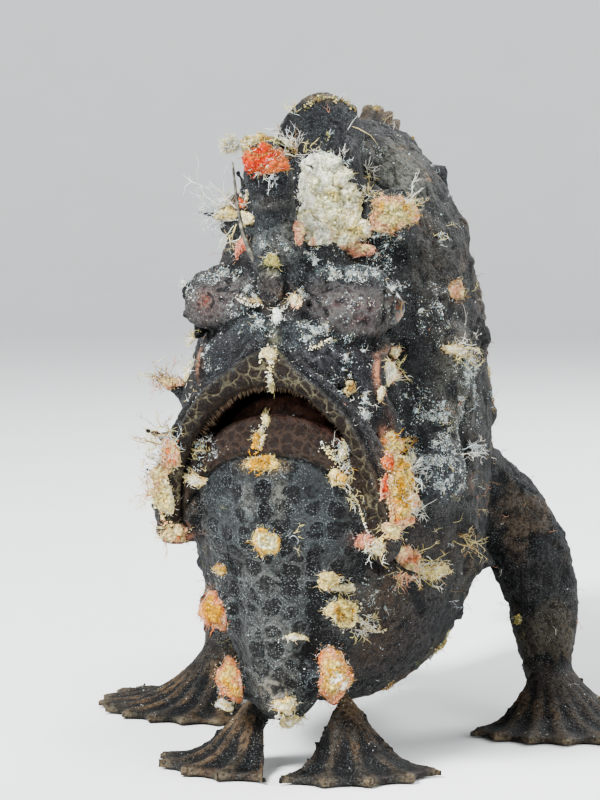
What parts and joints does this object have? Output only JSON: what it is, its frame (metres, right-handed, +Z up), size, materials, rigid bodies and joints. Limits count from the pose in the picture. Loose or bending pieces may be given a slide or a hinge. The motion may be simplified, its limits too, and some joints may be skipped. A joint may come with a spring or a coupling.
{
  "type": "frogfish",
  "caption": "Warty frogfish crouched on its hand-like fins, mouth slightly open and lure laid back; a still life-size model for display.",
  "frame": {"origin": "on the floor, under the middle of the whole fish's bounding box", "axes": "the fish faces -Y, its tail points to +Y, its left side is +X, and +Z is up"},
  "size_m": [0.0678, 0.118, 0.0697],
  "materials": {
    "skin": "charcoal, matt, warty and netted with grey",
    "growth": "pale crusts, tufts and grains on the skin",
    "eye": "clear and wet, with a streaked iris"
  },
  "bodies": {
    "root": {"head": "skin", "lower_jaw": "skin", "trunk": "skin", "tail_stalk": "skin", "tail_fin": "skin", "dorsal_fin": "skin", "anal_fin": "skin", "second_dorsal_spine": "skin", "third_dorsal_spine": "skin", "lure_rod": "skin", "lure_bait": "growth", "pectoral_arm_left": "skin", "pectoral_arm_right": "skin", "pectoral_fin_left": "skin", "pectoral_fin_right": "skin", "pelvic_fin_left": "skin", "pelvic_fin_right": "skin", "eye_left": "eye", "eye_right": "eye"}
  },
  "joints": []
}
